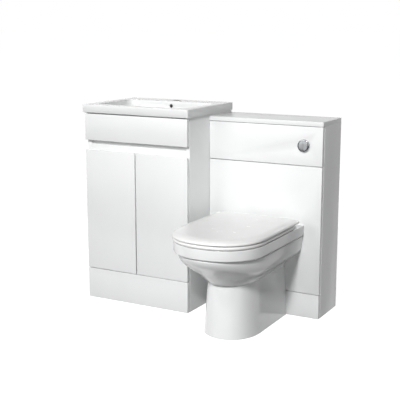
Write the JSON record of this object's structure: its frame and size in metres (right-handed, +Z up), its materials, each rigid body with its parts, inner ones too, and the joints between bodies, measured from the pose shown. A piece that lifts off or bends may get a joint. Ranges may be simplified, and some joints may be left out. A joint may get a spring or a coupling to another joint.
{
  "type": "toilet and basin combination unit",
  "caption": "White basin cabinet with doors joined to a shallower unit that hides the cistern, with a back-to-wall toilet pan, seat and lid in front of it.",
  "frame": {"origin": "centre of the object's bounding box on the floor", "axes": "+X along the wall from the basin cabinet to the toilet unit, -Y out of the fronts into the room, +Z up"},
  "size_m": [1.004, 0.75, 0.842],
  "materials": {
    "board": "high-gloss white foil on board",
    "ceramic": "glossy white glaze",
    "seat_plastic": "glossy white",
    "buffer": "soft",
    "steel": "plated",
    "chrome": "chrome plated",
    "cistern_plastic": "moulded",
    "float_plastic": "moulded",
    "plug_plastic": "moulded",
    "rubber": "matt",
    "tube": "flexible tube"
  },
  "bodies": {
    "unit": {"vanity_side_left": "board", "vanity_side_right": "board", "vanity_bottom_board": "board", "vanity_back_rails": "board", "vanity_front_rail": "board", "vanity_fascia": "board", "vanity_plinth": "board", "vanity_shelf": "board", "shelf_pins": "steel", "vanity_cams": "steel", "vanity_wall_brackets": "steel", "door_buffers": "buffer", "hinge_arms_left": "steel", "hinge_arms_right": "steel", "joining_bolts": "steel", "basin": "ceramic", "wc_side_left": "board", "wc_side_right": "board", "wc_worktop": "board", "access_panel": "board", "lower_panel": "board", "wc_plinth": "board", "wc_top_rails": "board", "wc_front_rails": "board", "wc_back_rails": "board", "cistern_shelf": "board", "panel_clips": "cistern_plastic", "wc_cams": "steel", "wc_wall_brackets": "steel", "cistern_tank": "cistern_plastic", "cistern_lid": "cistern_plastic", "fill_valve": "cistern_plastic", "flush_valve": "cistern_plastic", "flush_tower": "cistern_plastic", "cistern_nuts": "cistern_plastic", "flush_pipe": "cistern_plastic", "flush_cone": "rubber", "button_bezel": "chrome", "button_nut": "cistern_plastic", "button_spring_full": "steel", "button_spring_half": "steel", "air_tubes": "tube", "pan": "ceramic", "floor_brackets": "steel", "seat_hinge_posts": "steel", "seat_hinge_pins": "steel"},
    "door_left": {"door_left": "board", "hinge_cups_left": "steel"},
    "door_right": {"door_right": "board", "hinge_cups_right": "steel"},
    "hinge_link_left": {"hinge_links_left": "steel"},
    "hinge_link_right": {"hinge_links_right": "steel"},
    "lid": {"seat_lid": "seat_plastic", "lid_buffers": "buffer"},
    "seat": {"seat_ring": "seat_plastic", "seat_buffers": "buffer"},
    "button_full": {"button_full": "chrome"},
    "button_half": {"button_half": "chrome"},
    "flush_plug": {"flush_plug": "plug_plastic"},
    "float": {"float": "float_plastic"}
  },
  "joints": [
    {"name": "door_left_hinge", "type": "hinge", "parent": "unit", "child": "door_left", "pos_m": [-0.489, -0.0055, 0.392], "axis": [0, 0, -1], "range_deg": [0, 95]},
    {"name": "door_right_hinge", "type": "hinge", "parent": "unit", "child": "door_right", "pos_m": [-0.005, -0.0055, 0.392], "axis": [0, 0, 1], "range_deg": [0, 95]},
    {"name": "hinge_link_left_pivot", "type": "hinge", "parent": "unit", "child": "hinge_link_left", "pos_m": [-0.471, 0, 0.392], "axis": [0, 0, -1], "range_deg": [-56, 0]},
    {"name": "hinge_link_right_pivot", "type": "hinge", "parent": "unit", "child": "hinge_link_right", "pos_m": [-0.023, 0, 0.392], "axis": [0, 0, 1], "range_deg": [-56, 0]},
    {"name": "lid_hinge", "type": "hinge", "parent": "unit", "child": "lid", "pos_m": [0.252, 0.104, 0.4035], "axis": [-1, 0, 0], "range_deg": [0, 94]},
    {"name": "seat_hinge", "type": "hinge", "parent": "unit", "child": "seat", "pos_m": [0.252, 0.104, 0.4035], "axis": [-1, 0, 0], "range_deg": [0, 92]},
    {"name": "flush_plug_lift", "type": "slide", "parent": "unit", "child": "flush_plug", "axis": [0, 0, 1], "range_m": [0, 0.028]},
    {"name": "button_full_press", "type": "slide", "parent": "unit", "child": "button_full", "axis": [0, 1, 0], "range_m": [0, 0.005], "stiffness_N_per_m": 400, "springref_m": -0.002, "deforming": ["button_spring_full"]},
    {"name": "button_half_press", "type": "slide", "parent": "unit", "child": "button_half", "axis": [0, 1, 0], "range_m": [0, 0.005], "stiffness_N_per_m": 400, "springref_m": -0.002, "deforming": ["button_spring_half"]},
    {"name": "float_rise", "type": "slide", "parent": "unit", "child": "float", "axis": [0, 0, 1], "range_m": [0, 0.07]}
  ],
  "couplings": [
    {"joint": "hinge_link_left_pivot", "follows": "door_left_hinge", "ratio": -0.578},
    {"joint": "hinge_link_right_pivot", "follows": "door_right_hinge", "ratio": -0.578},
    {"joint": "seat_hinge", "follows": "lid_hinge", "ratio": 0.97},
    {"joint": "button_full_press", "follows": "flush_plug_lift", "ratio": 0.17857}
  ]
}
